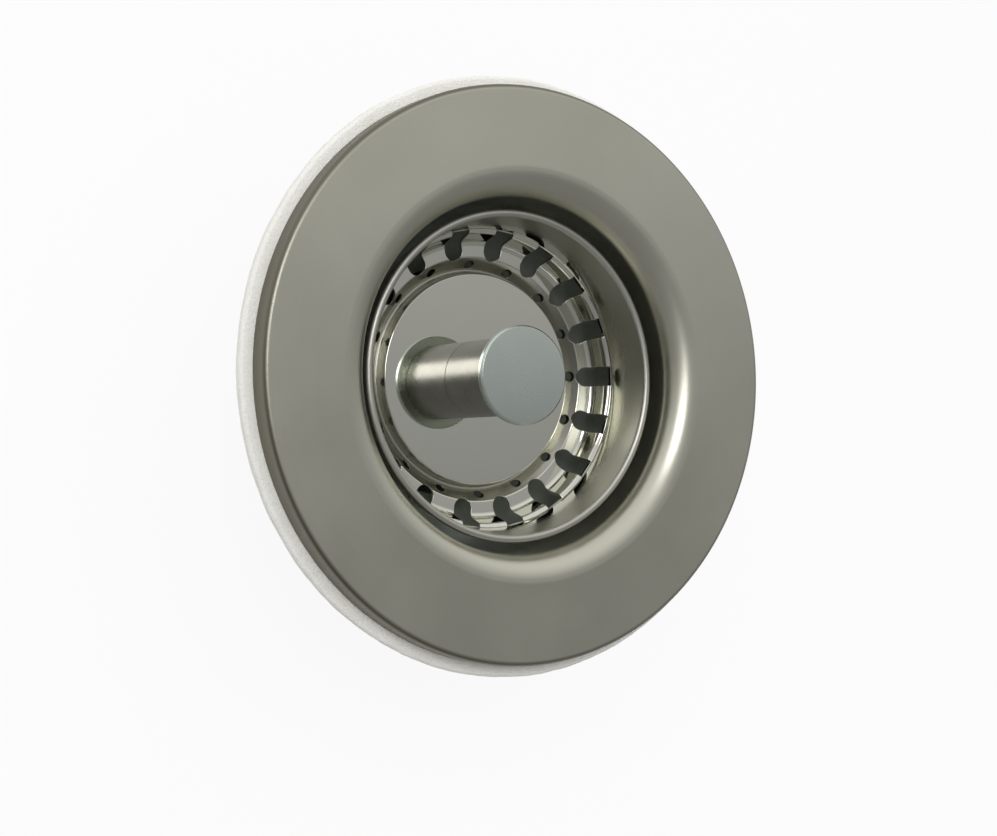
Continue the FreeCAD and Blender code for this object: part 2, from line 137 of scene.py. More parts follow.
# fine lines left by turning and spinning, round the axis
turnedLines, groupIn, groupOut = newGroup("turnedLines", {"lines": 6, "waver": 3}, ["mask"])
parts = objectParts(turnedLines)
density = perMetre(turnedLines, groupIn.outputs["lines"])
bearing = mathNode(turnedLines, "ARCTAN2", parts["Y"], parts["X"])
lineVector = turnedLines.nodes.new("ShaderNodeCombineXYZ")
for socket, value, scale in (("X", axisReach(turnedLines, parts), density), ("Y", parts["Z"], density),
                             ("Z", bearing, groupIn.outputs["waver"])):
    wire(turnedLines, mathNode(turnedLines, "MULTIPLY", value, scale), lineVector.inputs[socket])
lineMask = noiseNode(turnedLines, lineVector.outputs[0], detail=3, roughness=0.6)
wire(turnedLines, lineMask, groupOut.inputs["mask"])

# soft clouding of a wiped or handled surface
clouding, groupIn, groupOut = newGroup("clouding", {"patches": 60, "contrast": 1}, ["mask"])
cloudPlace = scaled(clouding, objectPlace(clouding), groupIn.outputs["patches"])
cloud = noiseNode(clouding, cloudPlace, detail=4, roughness=0.55)
offMiddle = mathNode(clouding, "SUBTRACT", cloud, 0.5)
cloudMask = mathNode(clouding, "MULTIPLY_ADD", offMiddle, groupIn.outputs["contrast"], 0.5)
cloudMask.node.use_clamp = True
wire(clouding, cloudMask, groupOut.inputs["mask"])

# close grain of a moulded, blasted or cast skin
skinGrain, groupIn, groupOut = newGroup("skinGrain", {"grains": 4}, ["height"])
density = perMetre(skinGrain, groupIn.outputs["grains"])
grainPlace = scaled(skinGrain, objectPlace(skinGrain), density)
wire(skinGrain, noiseNode(skinGrain, grainPlace, detail=2, roughness=0.5), groupOut.inputs["height"])

# open and closed cells of foam, with painted shade in the cell hollows
shadedPitEdges = (0.12, 0.4)
foamCells, groupIn, groupOut = newGroup("foamCells", {"cells": 2.2}, ["height", "shadedPits"])
density = perMetre(foamCells, groupIn.outputs["cells"])
cells = foamCells.nodes.new("ShaderNodeTexVoronoi")
cells.inputs["Scale"].default_value = 1
wire(foamCells, scaled(foamCells, objectPlace(foamCells), density), cells.inputs["Vector"])
wire(foamCells, cells.outputs["Distance"], groupOut.inputs["height"])
shadedPits = rangeNode(foamCells, cells.outputs["Distance"], *shadedPitEdges, 1, 0, smooth=True)
wire(foamCells, shadedPits, groupOut.inputs["shadedPits"])


def useGroup(tree, group, **values):
    node = tree.nodes.new("ShaderNodeGroup")
    node.node_tree = group
    for socket, value in values.items():
        node.inputs[socket].default_value = value
    return node


def newMaterial(name):
    material = bpy.data.materials.new(name)
    material.use_nodes = True
    tree = material.node_tree
    return material, tree, tree.nodes["Principled BSDF"]


def addBump(tree, shader, height, strength, depth):
    bump = tree.nodes.new("ShaderNodeBump")
    bump.inputs["Strength"].default_value = strength
    bump.inputs["Distance"].default_value = depth * mm
    wire(tree, height, bump.inputs["Height"])
    wire(tree, bump.outputs["Normal"], shader.inputs["Normal"])


# one steel: two close tints, clouded, and turned lines in its gloss; zones by height or reach may differ
steelBlend = {"lineShare": 0.35, "contrast": 1.6, "glossOver": (0.25, 0.75), "bump": 0.5}


def steelMaterial(name, look):
    material, tree, shader = newMaterial(name)
    lines = useGroup(tree, turnedLines, lines=look["lines"], waver=look["waver"]).outputs["mask"]
    cloud = useGroup(tree, clouding, patches=look["patches"], contrast=steelBlend["contrast"]).outputs["mask"]
    cloudPart = mathNode(tree, "MULTIPLY", cloud, 1 - steelBlend["lineShare"])
    both = mathNode(tree, "MULTIPLY_ADD", lines, steelBlend["lineShare"], cloudPart)

    def tintAndGloss(part):
        tint = mixColour(tree, both, part["dark"], part["light"])
        return tint, rangeNode(tree, both, *steelBlend["glossOver"], *part["gloss"])

    tint, rough = tintAndGloss(look)
    for zone in look.get("zones", ()):
        parts = objectParts(tree)
        along = parts["Z"] if zone["by"] == "height" else axisReach(tree, parts)
        share = rangeNode(tree, along, zone["from"] * mm, zone["to"] * mm, 0, 1, smooth=True)
        zoneTint, zoneRough = tintAndGloss(zone)
        tint = mixColour(tree, share, tint, zoneTint)
        change = mathNode(tree, "SUBTRACT", zoneRough, rough)
        rough = mathNode(tree, "MULTIPLY_ADD", share, change, rough)
    wire(tree, tint, shader.inputs["Base Color"])
    wire(tree, rough, shader.inputs["Roughness"])
    shader.inputs["Metallic"].default_value = 1
    if look["lineDepth"]:
        addBump(tree, shader, lines, steelBlend["bump"], look["lineDepth"])
    return material


# moulded rubber or plastic
mouldedBlend = {"grainShare": 0.5, "contrast": 1.8, "glossOver": (0.3, 0.7), "bump": 0.6}


def mouldedMaterial(name, look):
    material, tree, shader = newMaterial(name)
    cloud = useGroup(tree, clouding, patches=look["patches"], contrast=mouldedBlend["contrast"]).outputs["mask"]
    grain = useGroup(tree, skinGrain, grains=look["grains"]).outputs["height"]
    cloudPart = mathNode(tree, "MULTIPLY", cloud, 1 - mouldedBlend["grainShare"])
    both = mathNode(tree, "MULTIPLY_ADD", grain, mouldedBlend["grainShare"], cloudPart)
    rough = rangeNode(tree, both, *mouldedBlend["glossOver"], *look["gloss"])
    wire(tree, mixColour(tree, cloud, look["dark"], look["light"]), shader.inputs["Base Color"])
    wire(tree, rough, shader.inputs["Roughness"])
    addBump(tree, shader, grain, mouldedBlend["bump"], look["grainDepth"])
    return material


# path and mesh helpers, all in mm until a point is stored; a row is a section's point with its two normals
pathRow = namedtuple("pathRow", "r z before after")
straightTurn = 1e-4  # radians


def sideNormal(bearing):
    return Vector((math.sin(bearing), -math.cos(bearing)))


# corners of (r, z, round) become rows
def roundPath(corners, closed=True, arcStep=7.0):
    rows = []
    count = len(corners)
    for i, (r, z, size) in enumerate(corners):
        here = Vector((r, z))
        back = here - Vector(corners[i - 1][:2])
        ahead = Vector(corners[(i + 1) % count][:2]) - here
        if not closed and i == 0:
            back = ahead
        if not closed and i == count - 1:
            ahead = back
        back, ahead = back.normalized(), ahead.normalized()
        bearing = math.atan2(back.y, back.x)
        turn = math.atan2(back.x * ahead.y - back.y * ahead.x, back.dot(ahead))
        if size <= 0 or abs(turn) < straightTurn:
            rows.append(pathRow(r, z, sideNormal(bearing), sideNormal(bearing + turn)))
            continue
        side = 1 if turn > 0 else -1
        start = here - back * size * math.tan(abs(turn) / 2)
        centre = start - sideNormal(bearing) * size * side
        steps = max(2, math.ceil(math.degrees(abs(turn)) / arcStep))
        for k in range(steps + 1):
            out = sideNormal(bearing + turn * k / steps)
            spot = centre + out * size * side
            rows.append(pathRow(spot.x, spot.y, out, out))
    return rows


def makeMesh(name, points, faces, normals, sharp=40):
    mesh = bpy.data.meshes.new(name)
    mesh.from_pydata([(x * mm, y * mm, z * mm) for x, y, z in points], [], faces)
    mesh.shade_smooth()
    mesh.set_sharp_from_angle(angle=math.radians(sharp))
    if normals:
        mesh.normals_split_custom_set(normals)
    return mesh


def turned(point, turn):
    x, y, z = point
    return (x * math.cos(turn) - y * math.sin(turn), x * math.sin(turn) + y * math.cos(turn), z)


def swung(normal, turn):
    return (normal.x * math.cos(turn), normal.x * math.sin(turn), normal.y)


# rows turned round the axis; a wave moves a row's points, which then get their own normals
def lathe(name, rows, columns, closed=True, wave=None):
    points, faces, normals, rings, waved = [], [], [], [], []
    turns = [2 * math.pi * j / columns for j in range(columns)]
    for row in rows:
        moved = wave is not None and wave(row.r, row.z, 0) is not None
        waved.append(moved)
        if row.r < tiny:
            rings.append([len(points)] * columns)
            points.append((0, 0, row.z))
            continue
        rings.append(range(len(points), len(points) + columns))
        for turn in turns:
            radius, height = wave(row.r, row.z, turn) if moved else (row.r, row.z)
            points.append((radius * math.cos(turn), radius * math.sin(turn), height))
    for i in range(len(rows) if closed else len(rows) - 1):
        k = (i + 1) % len(rows)
        near, far = rows[i], rows[k]
        free = waved[i] or waved[k]
        for j in range(columns):
            n = (j + 1) % columns
            loop = [(i, j, near.after), (i, n, near.after), (k, n, far.before), (k, j, far.before)]
            if near.r < tiny:
                loop = loop[1:]
            elif far.r < tiny:
                loop = loop[:3]
            faces.append([rings[row][column] for row, column, normal in loop])
            normals += [(0, 0, 0) if free else swung(normal, turns[column]) for row, column, normal in loop]
    return makeMesh(name, points, faces, normals)


def makeTube(name, s):
    rows = roundPath([(s[side], s[end], s["round"]) for side, end in (
        ("bore", "low"), ("outer", "low"), ("outer", "high"), ("bore", "high"))])
    return lathe(name, rows, s["columns"])


def addPiece(name, mesh, body, slotName, material, *nodes):
    piece = bpy.data.objects.new(name, mesh)
    scene.collection.objects.link(piece)
    mesh.materials.append(material)
    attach(piece, body)
    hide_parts(*nodes)


# a cut thread: crest falls to root and back once in each pitch, and runs out at both ends
threadForm = {"rootHalf": 0.08, "flank": 0.3, "rowsPerPitch": 9, "lead": 0.01}


def threadWave(thread):
    low, high, pitch, fade = (thread[name] for name in ("low", "high", "pitch", "fade"))
    depth = thread["crest"] - thread["root"]

    def wave(r, z, turn):
        if not low - tiny <= z <= high + tiny or abs(r - thread["crest"]) > tiny:
            return None
        phase = ((z - pitch * turn / (2 * math.pi)) / pitch) % 1
        flank = min(max((abs(phase - 0.5) - threadForm["rootHalf"]) / threadForm["flank"], 0), 1)
        flank = flank * flank * (3 - 2 * flank)
        return thread["root"] + depth * flank * min((z - low) / fade, (high - z) / fade, 1), z
    return wave


# the thread's rows go in after the row that ends just below it
def withThread(rows, thread):
    low, rise = thread["low"], thread["high"] - thread["low"]
    at = 1 + next(i for i, row in enumerate(rows) if abs(row.z - low + threadForm["lead"]) < tiny)
    count = round(rise / thread["pitch"] * threadForm["rowsPerPitch"])
    out = Vector((1, 0))
    cut = [pathRow(thread["crest"], low + rise * k / count, out, out) for k in range(count + 1)]
    return rows[:at] + cut + rows[at:]


# drawn body: bowl, throat, rounded nose, flange and skirt
bodySizes = {
    "outlet": 19.5, "floor": 29.0, "wall": 0.8, "throat": 35.3, "corner": 4.0, "nose": 5.2, "edge": 57.0,
    "edgeLevel": 62.0, "rise": 0.65, "edgeRound": 1.2, "edgeInside": 0.4, "skirtFoot": 57.2, "cutRound": 0.15,
    "line": 40.75, "lineRound": 6.0, "noseLead": 4.5, "columns": 256,
}
bodyThread = {"low": 33.0, "high": 51.5, "root": 36.12, "crest": 37.0, "pitch": 2.0, "fade": 1.4}
satinTints = {"dark": (0.56, 0.554, 0.468), "light": (0.65, 0.644, 0.553), "gloss": (0.28, 0.36)}
satinSteel = steelMaterial("satinSteel", {
    **satinTints, "lines": 5, "waver": 2, "patches": 45, "lineDepth": 0.002,
    "zones": [  # the bowl, its outside, and the skirt's side, where the flange's edge round and skirt are painted dark as shade
        {"by": "height", "from": 51, "to": 45,
         "dark": (0.56, 0.59, 0.54), "light": (0.63, 0.66, 0.61), "gloss": (0.75, 0.9)},
        {"by": "reach", "from": 35.5, "to": 35.9, **satinTints},
        # painted shade: the flange's edge round and the skirt's side are coloured dark, standing in for their shade
        # and holding back the edge's highlight
        {"by": "reach", "from": 55.8, "to": 56.6,
         "dark": (0.15, 0.14, 0.11), "light": (0.20, 0.19, 0.15), "gloss": (0.38, 0.48)}]})


def makeBody(s):
    wall, floor, top = s["wall"], s["floor"], s["edgeLevel"] + s["rise"]
    outside, inside = s["throat"] + wall, s["edge"] - wall
    slope = s["rise"] / (s["edge"] - s["throat"])
    lineLevel = s["edgeLevel"] + slope * (s["edge"] - s["line"])
    noseLevel = lineLevel - (s["line"] - s["throat"]) * math.tan(math.radians(s["noseLead"]))
    rows = roundPath([
        (s["outlet"], floor, s["cutRound"]), (s["outlet"], floor - wall, s["cutRound"]),
        (outside, floor - wall, s["corner"] + wall),
        (outside, bodyThread["low"] - threadForm["lead"], 0), (outside, bodyThread["high"] + threadForm["lead"], 0),
        (outside, top - wall, s["nose"] - wall), (inside, s["edgeLevel"] - wall, s["edgeInside"]),
        (inside, s["skirtFoot"], s["cutRound"]), (s["edge"], s["skirtFoot"], s["cutRound"]),
        (s["edge"], s["edgeLevel"], s["edgeRound"]), (s["line"], lineLevel, s["lineRound"]),
        (s["throat"], noseLevel, s["nose"]), (s["throat"], floor, s["corner"])])
    return lathe("strainerShell", withThread(rows, bodyThread), s["columns"], wave=threadWave(bodyThread))


addPiece("strainerShell", makeBody(bodySizes), "strainer", "satin_steel", satinSteel, "strainer_body")
print("drawn body made")

# foam ring under the flange, with a slightly uneven cut edge
foamSizes = {
    "bore": 43.0, "edge": 59.6, "low": 54.8, "high": 57.2, "land": 55.9, "landDrop": 0.35, "boreDrop": 0.05,
    "boreRound": 0.3, "edgeRound": 0.9, "landFoot": 0.1, "columns": 320,
}
foamEdge = {"depth": 0.35, "height": 0.06, "from": 57.4, "coarse": (9, 0.3, 0.35), "fine": (60, 1.5, 0.3)}
foamLook = {
    "dark": (0.88, 0.87, 0.81), "light": (0.95, 0.945, 0.91), "pitShade": (0.83, 0.81, 0.75), "gloss": (0.8, 0.95),
    "cells": 2.4, "patches": 140, "contrast": 2.2, "bump": 0.7, "cellDepth": 0.12,
}


def foamMaterial(look):
    material, tree, shader = newMaterial("whiteFoam")
    cells = useGroup(tree, foamCells, cells=look["cells"])
    cloud = useGroup(tree, clouding, patches=look["patches"], contrast=look["contrast"]).outputs["mask"]
    skin = mixColour(tree, cloud, look["dark"], look["light"])
    # painted shade: the foam's cell hollows are coloured darker
    wire(tree, mixColour(tree, cells.outputs["shadedPits"], skin, look["pitShade"]), shader.inputs["Base Color"])
    wire(tree, rangeNode(tree, cloud, 0, 1, *look["gloss"]), shader.inputs["Roughness"])
    addBump(tree, shader, cells.outputs["height"], look["bump"], look["cellDepth"])
    return material


def foamWave(r, z, turn):
    if r < foamEdge["from"]:
        return None
    around = Vector((math.cos(turn), math.sin(turn), 0))

    def uneven(perTurn, perHeight):
        return noise.noise(around * perTurn + Vector((0, 0, z * perHeight)))

    *coarseSteps, coarseShare = foamEdge["coarse"]
    *fineSteps, fineShare = foamEdge["fine"]
    fine = uneven(*fineSteps)
    shift = 0.5 + coarseShare * uneven(*coarseSteps) + fineShare * fine
    return r - foamEdge["depth"] * min(max(shift, 0), 1), z - foamEdge["height"] * fine - foamEdge["height"]


def makeFoam(s):
    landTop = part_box("flange_gasket")[1].z / mm
    rows = roundPath([
        (s["bore"], s["low"], s["boreRound"]), (s["edge"], s["low"], s["edgeRound"]),
        (s["edge"], s["high"], s["edgeRound"]), (s["land"], s["high"], s["landFoot"]),
        (s["land"], landTop - s["landDrop"], s["boreRound"]), (s["bore"], landTop - s["boreDrop"], s["boreRound"])])
    return lathe("foamRing", rows, s["columns"], wave=foamWave)


addPiece("foamRing", makeFoam(foamSizes), "strainer", "white_foam", foamMaterial(foamLook), "flange_gasket")
print("foam ring made")

# lift-out basket: one drawn sheet, rolled at the rim, slotted and pierced
basketSizes = {
    "wall": 0.7, "rodHole": 2.65, "edgeBreak": 0.1, "columns": 144,
    "beadRadius": 32.4, "beadLevel": 55.4, "bead": 0.8, "beadFrom": -104, "beadTo": 172.9, "beadSteps": 36,
    "joinUnder": 0.02, "joinAbove": 0.01,
    "slotWidth": 4.0, "slotStart": 24.65, "slotEnd": 30.25, "slotSteps": 24,
    "holeDeep": 0.68, "holeWide": 1.08, "holePlace": 23.65, "holeSteps": 28,
}
holeRing = {"inner": 22.6, "outer": 24.5, "repeats": 16, "turn": 2.0, "sector": -11.0}
slotRing = {"inner": 24.5, "outer": 30.45, "repeats": 18, "turn": 11.5, "sector": -5.5}
basketPath = [  # r, z, round above, round below
    (2.65, 41.6, 0, 0), (21.7, 41.6, 0.35, 0.15), (22.2, 38.4, 0.5, 1.2), (25.1, 41.3, 0.5, 0.3),
    (28.3, 41.5, 1.4, 2.1), (29.5, 45.4, 0.9, 0.2), (30.4, 45.8, 0.3, 1.0), (31.6, 55.4, 0, 0)]
brightTints = {"dark": (0.69, 0.69, 0.62), "light": (0.75, 0.75, 0.68)}
basketSteel = steelMaterial("basketSteel", {
    **brightTints, "gloss": (0.01, 0.04), "lines": 4, "waver": 3, "patches": 40, "lineDepth": 0,
    "zones": [  # the valley, the slotted ring, the band and the rolled rim
        {"by": "reach", "from": 21.5, "to": 21.75,
         "dark": (0.50, 0.495, 0.435), "light": (0.56, 0.555, 0.495), "gloss": (0.22, 0.28)},
        {"by": "reach", "from": 24.9, "to": 25.2, **brightTints, "gloss": (0.02, 0.05)},
        {"by": "height", "from": 47.0, "to": 51.0,
         "dark": (0.57, 0.565, 0.50), "light": (0.62, 0.615, 0.55), "gloss": (0.27, 0.35)},
        {"by": "reach", "from": 31.4, "to": 31.9,
         "dark": (0.52, 0.515, 0.47), "light": (0.57, 0.565, 0.52), "gloss": (0.36, 0.44)}]})


def offsetPath(path, gap):
    lines = []
    for (r, z, *_), (rNext, zNext, *_) in zip(path, path[1:]):
        run = Vector((rNext - r, zNext - z)).normalized()
        lines.append((Vector((r, z)) + Vector((run.y, -run.x)) * gap, run))
    spots = [lines[0][0]]
    for (a, run), (b, nextRun) in zip(lines, lines[1:]):
        cross = run.x * nextRun.y - run.y * nextRun.x
        spots.append(a + run * (((b - a).x * nextRun.y - (b - a).y * nextRun.x) / cross))
    start, run = lines[-1]
    spots.append(start + run * (Vector(path[-1][:2]) - Vector(path[-2][:2])).length)
    return spots


def rowAt(rows, r):
    for a, b in zip(rows, rows[1:]):
        if min(a.r, b.r) <= r <= max(a.r, b.r) and a.r != b.r:
            share = (r - a.r) / (b.r - a.r)
            normal = a.after.lerp(b.before, share).normalized()
            return pathRow(r, a.z + (b.z - a.z) * share, normal, normal)


# a mesh that welds its corners, each a (point, normal), as faces come in
class sheetMesh:
    weldsPerMm = 1e4
    shifts = (0, -1, 1)  # a corner on a step's edge may round either way

    def __init__(self, turns):
        self.points, self.faces, self.normals, self.known = [], [], [], {}
        self.turns = turns

    def spot(self, point):
        a, b, c = key = tuple(round(value * self.weldsPerMm) for value in point)
        if key not in self.known:
            near = ((a + i, b + j, c + k) for i in self.shifts for j in self.shifts for k in self.shifts)
            found = next((self.known[other] for other in near if other in self.known), None)
            if found is None:
                found = len(self.points)
                self.points.append(point)
            self.known[key] = found
        return self.known[key]

    def addFace(self, corners):
        loop = [self.spot(point) for point, normal in corners]
        if len(set(loop)) == len(loop):
            self.faces.append(loop)
            self.normals += [tuple(normal) for point, normal in corners]

    def addStrip(self, rows):
        for a, b in zip(rows, rows[1:]):
            for t, u in zip(self.turns, self.turns[1:] + self.turns[:1]):
                loop = ((a, a.after, t), (a, a.after, u), (b, b.before, u), (b, b.before, t))
                self.addFace([((row.r * math.cos(v), row.r * math.sin(v), row.z), swung(normal, v))
                              for row, normal, v in loop])


# steps and tolerances of the cut sheet
sheetGrid = {"margin": 0.04, "least": 0.055, "most": 0.6, "weld": 1e-5, "sliver": 2e-5,
             "inset": 1e-4, "rim": 0.01, "endGap": 1e-3}
# an opening in plan: its outline, what lies in it, and where its wall stands and faces
opening = namedtuple("opening", "outline holds wall")


def slotOpening(s):
    half, end = s["slotWidth"] / 2, s["slotEnd"]
    wide = half + s["edgeBreak"]
    near = Vector((s["slotStart"] + half, 0))
    bends = [math.pi / 2 + math.pi * k / s["slotSteps"] for k in range(s["slotSteps"] + 1)]
    outline = [near + Vector((math.cos(a), math.sin(a))) * wide for a in bends]

    def holds(p):
        if p.x < near.x:
            return (p - near).length < wide
        return p.x < end and abs(p.y) < wide

    def wall(p, middle):
        if middle.x > end - sheetGrid["endGap"]:
            return Vector((p.x, max(-half, min(half, p.y)))), Vector((-1, 0))
        if middle.x > near.x:
            side = 1 if p.y > 0 else -1
            return Vector((p.x, side * half)), Vector((0, -side))
        face = (near - p).normalized()
        return near - face * half, face

    return opening([Vector((end, wide)), *outline, Vector((end, -wide))], holds, wall)


def holeOpening(s):
    hole = Vector((s["holePlace"], 0))
    deep, wide = s["holeDeep"], s["holeWide"]
    outDeep, outWide = deep + s["edgeBreak"], wide + s["edgeBreak"]
    bends = [2 * math.pi * k / s["holeSteps"] for k in range(s["holeSteps"])]
    outline = [hole + Vector((outDeep * math.cos(a), outWide * math.sin(a))) for a in bends]

    def holds(p):
        return math.hypot((p.x - hole.x) / outDeep, p.y / outWide) < 1

    def wall(p, middle):
        u, v = (p.x - hole.x) / outDeep, p.y / outWide
        return hole + Vector((u * deep, v * wide)), -Vector((u / deep, v / wide)).normalized()

    return opening(outline, holds, wall)


# radii at which a ring of the sheet is divided
def ringLevels(rows, inner, outer):
    low, high, most = inner + sheetGrid["margin"], outer - sheetGrid["margin"], sheetGrid["most"]
    levels = [inner]
    for r in sorted({round(row.r, 3) for row in rows if low < row.r < high}) + [outer]:
        if r - levels[-1] > sheetGrid["least"]:
            levels.append(r)
    levels[-1] = outer
    while any(b - a > most for a, b in zip(levels, levels[1:])):
        levels = sorted(levels + [(a + b) / 2 for a, b in zip(levels, levels[1:]) if b - a > most])
    return levels


# one sector in plan, divided by levels, columns and the opening's outline
def sectorPlan(levels, bearings, outline):
    plan, edges = [], []
    columns = len(bearings) - 1
    for r in levels:
        first = len(plan)
        plan += [Vector((r * math.cos(a), r * math.sin(a))) for a in bearings]
        edges += [(first + j, first + j + 1) for j in range(columns)]
        if first:  # the sector's straight sides
            edges += [(first - columns - 1, first), (first - 1, first + columns)]
    first, count = len(plan), len(outline)
    edges += [(first + k, first + (k + 1) % count) for k in range(count)]
    spots, _, triangles, *_ = delaunay_2d_cdt(plan + outline, edges, [], 0, sheetGrid["weld"])
    return spots, triangles


# a ring of like sectors, each cut by its opening, on both faces of the sheet and with the opening's walls
def addRing(mesh, s, ring, cut, upper, lower):
    inner, outer, edge = ring["inner"], ring["outer"], s["edgeBreak"]
    step = 2 * math.pi / s["columns"]
    columns = s["columns"] // ring["repeats"]
    start, sector = math.radians(ring["sector"]), step * columns
    bearings = [start + step * j for j in range(columns + 1)]
    spots, triangles = sectorPlan(ringLevels(upper + lower, inner, outer), bearings, cut.outline)
    chord = inner * math.cos(step / 2) - sheetGrid["inset"]
    kept, owners = [], {}
    for triangle in triangles:
        a, b, c = (spots[v] for v in triangle)
        middle, size = (a + b + c) / 3, (b - a).cross(c - a)
        if abs(size) < sheetGrid["sliver"] or middle.length < chord or cut.holds(middle):
            continue
        if size < 0:
            triangle = triangle[::-1]
        kept.append(triangle)
        for v, w in zip(triangle, triangle[1:] + triangle[:1]):
            owners.setdefault((min(v, w), max(v, w)), []).append((v, w))
    reaches = [min(max(round(p.length, 4), inner), outer) for p in spots]
    sheetRows = [(rowAt(upper, r), rowAt(lower, r)) for r in reaches]

    def inSector(p):
        turn, inset, rim = math.atan2(p.y, p.x), sheetGrid["inset"], sheetGrid["rim"]
        return start + inset < turn < start + sector - inset and inner + rim < p.length < outer - rim

    def corner(v, face, swing):
        p, row = spots[v], sheetRows[v][face]
        return turned((p.x, p.y, row.z), swing), swung(row.before, math.atan2(p.y, p.x) + swing)

    def wallCorner(v, face, middle, swing):  # below the broken edge
        p, row = spots[v], sheetRows[v][face]
        own, out = cut.wall(p, middle)
        back = swung(row.before, math.atan2(p.y, p.x))
        point = (own.x - back[0] * edge, own.y - back[1] * edge, row.z - back[2] * edge)
        return turned(point, swing), turned((out.x, out.y, 0), swing)

    single = [pairs[0] for pairs in owners.values() if len(pairs) == 1]
    walls = [(v, w) for v, w in single if inSector((spots[v] + spots[w]) / 2)]
    for k in range(ring["repeats"]):
        swing = math.radians(ring["turn"]) + sector * k
        for triangle in kept:
            mesh.addFace([corner(v, 0, swing) for v in triangle])
            mesh.addFace([corner(v, 1, swing) for v in reversed(triangle)])
        for pair in walls:
            middle = (spots[pair[0]] + spots[pair[1]]) / 2
            up, down = ([corner(v, face, swing) for v in pair] for face in (0, 1))
            high, low = ([wallCorner(v, face, middle, swing) for v in pair] for face in (0, 1))
            for a, b in ((up, high), (high, low), (low, down)):
                mesh.addFace([a[1], a[0], b[0], b[1]])


def makeBasket(s):
    upper = roundPath([(r, z, above) for r, z, above, below in reversed(basketPath)], closed=False)
    below = zip(offsetPath(basketPath, s["wall"]), basketPath)
    lower = roundPath([(p.x, p.y, corner[3]) for p, corner in below], closed=False)
    inner, outer = holeRing["inner"], slotRing["outer"]
    firstTurn = math.radians(slotRing["turn"] + slotRing["sector"])
    mesh = sheetMesh([firstTurn + 2 * math.pi * j / s["columns"] for j in range(s["columns"])])

    # plate, from the pierced ring in to the rod's hole and back underneath
    inward = Vector((-1, 0))
    top = [rowAt(upper, inner)] + [row for row in upper if row.r < inner]
    under = [row for row in lower if row.r < inner] + [rowAt(lower, inner)]
    top[-1] = top[-1]._replace(after=inward)
    under[0] = under[0]._replace(r=s["rodHole"], before=inward)
    mesh.addStrip(top + under)

    # band and rolled rim
    beadFrom, beadTo = math.radians(s["beadFrom"]), math.radians(s["beadTo"])
    bead = []
    for k in range(s["beadSteps"] + 1):
        a = beadFrom + (beadTo - beadFrom) * k / s["beadSteps"]
        out = Vector((math.cos(a), math.sin(a)))
        bead.append(pathRow(s["beadRadius"] + s["bead"] * out.x, s["beadLevel"] + s["bead"] * out.y, out, out))
    under = [rowAt(lower, outer)] + [row for row in lower if outer < row.r < bead[0].r - s["joinUnder"]]
    under.append(bead[0]._replace(before=under[-1].after))
    band = [row for row in upper if outer < row.r < bead[-1].r - s["joinAbove"]]
    mesh.addStrip(under + bead[1:] + band + [rowAt(upper, outer)])

    addRing(mesh, s, holeRing, holeOpening(s), upper, lower)
    addRing(mesh, s, slotRing, slotOpening(s), upper, lower)
    return makeMesh("basketSheet", mesh.points, mesh.faces, mesh.normals)


addPiece("basketSheet", makeBasket(basketSizes), "basket", "bright_steel", basketSteel, "basket_shell")
print("basket made")

# knob and its post
knobSizes = {
    "edge": 9.9, "low": 57.9, "side": 59.0, "bevel": 0.36, "crown": 59.6, "spigot": 6.95, "foot": 53.9,
    "bore": 2.55, "boreEnd": 57.15, "boreRound": 0.2, "footRound": 0.4, "lowRound": 0.25, "bevelRound": 0.1,
    "domeSteps": 12, "columns": 160,
}
knobSteel = steelMaterial("knobSteel", {
    "dark": (0.62, 0.68, 0.63), "light": (0.68, 0.745, 0.69), "gloss": (0.24, 0.31),
    "lines": 3, "waver": 2, "patches": 70, "lineDepth": 0})


def makeKnob(s):
    rim, rimLevel, ease = s["edge"] - s["bevel"], s["side"] + s["bevel"], s["bevelRound"]
    crown = s["crown"] - rimLevel
    dome = (rim * rim + crown * crown) / (2 * crown)
    rows = roundPath([
        (0, s["boreEnd"], 0), (s["bore"], s["boreEnd"], 0), (s["bore"], s["foot"], s["boreRound"]),
        (s["spigot"], s["foot"], s["footRound"]), (s["spigot"], s["low"], 0), (s["edge"], s["low"], s["lowRound"]),
        (s["edge"], s["side"], ease), (rim, rimLevel, ease),
        (rim - 1, rimLevel + rim / dome, 0)], closed=False)[:-1]  # the last corner only leads into the dome
    domeEdge = rows[-1].r - ease
    for k in range(s["domeSteps"] + 1):
        r = domeEdge * (1 - k / s["domeSteps"])
        out = Vector((r / dome, math.sqrt(1 - (r / dome) ** 2)))
        rows.append(pathRow(r, s["crown"] - dome + dome * out.y, out, out))
    return lathe("knobHead", rows, s["columns"], closed=False)


addPiece("knobHead", makeKnob(knobSizes), "basket", "satin_steel", knobSteel, "knob_cap")

postSizes = {"bore": 7.0, "outer": 7.9, "low": 41.6, "high": 57.9, "round": 0.15, "columns": 128}
# painted shade: the post's steel is coloured much darker than the knob's, standing in for the shade and dim
# reflections down in the basket
postSteelShaded = steelMaterial("postSteelShaded", {
    "dark": (0.25, 0.24, 0.225), "light": (0.34, 0.33, 0.31), "gloss": (0.24, 0.36),
    "lines": 7, "waver": 5, "patches": 220, "lineDepth": 0.003})
addPiece("postTube", makeTube("postTube", postSizes), "basket", "satin_steel", postSteelShaded, "post_sleeve")
print("knob and post made")

# outlet under the bowl, with its tail thread
outletSizes = {
    "bore": 18.4, "seatBore": 19.5, "seat": 16.0, "relief": 22.4, "reliefFrom": 20.0, "flange": 27.0,
    "flangeLow": 25.8, "high": 28.2, "seatRound": 0.2, "mouthRound": 0.4, "tailRound": 0.3, "reliefRound": 1.0,
    "flangeRound": 0.4, "topRound": 0.25, "columns": 192,
}
outletThread = {"low": 0.8, "high": 20.0, "root": 22.45, "crest": 23.9, "pitch": 2.4, "fade": 1.2}
platedBrass = steelMaterial("platedBrass", {
    "dark": (0.58, 0.56, 0.51), "light": (0.68, 0.66, 0.61), "gloss": (0.16, 0.26),
    "lines": 3, "waver": 4, "patches": 90, "lineDepth": 0.003})


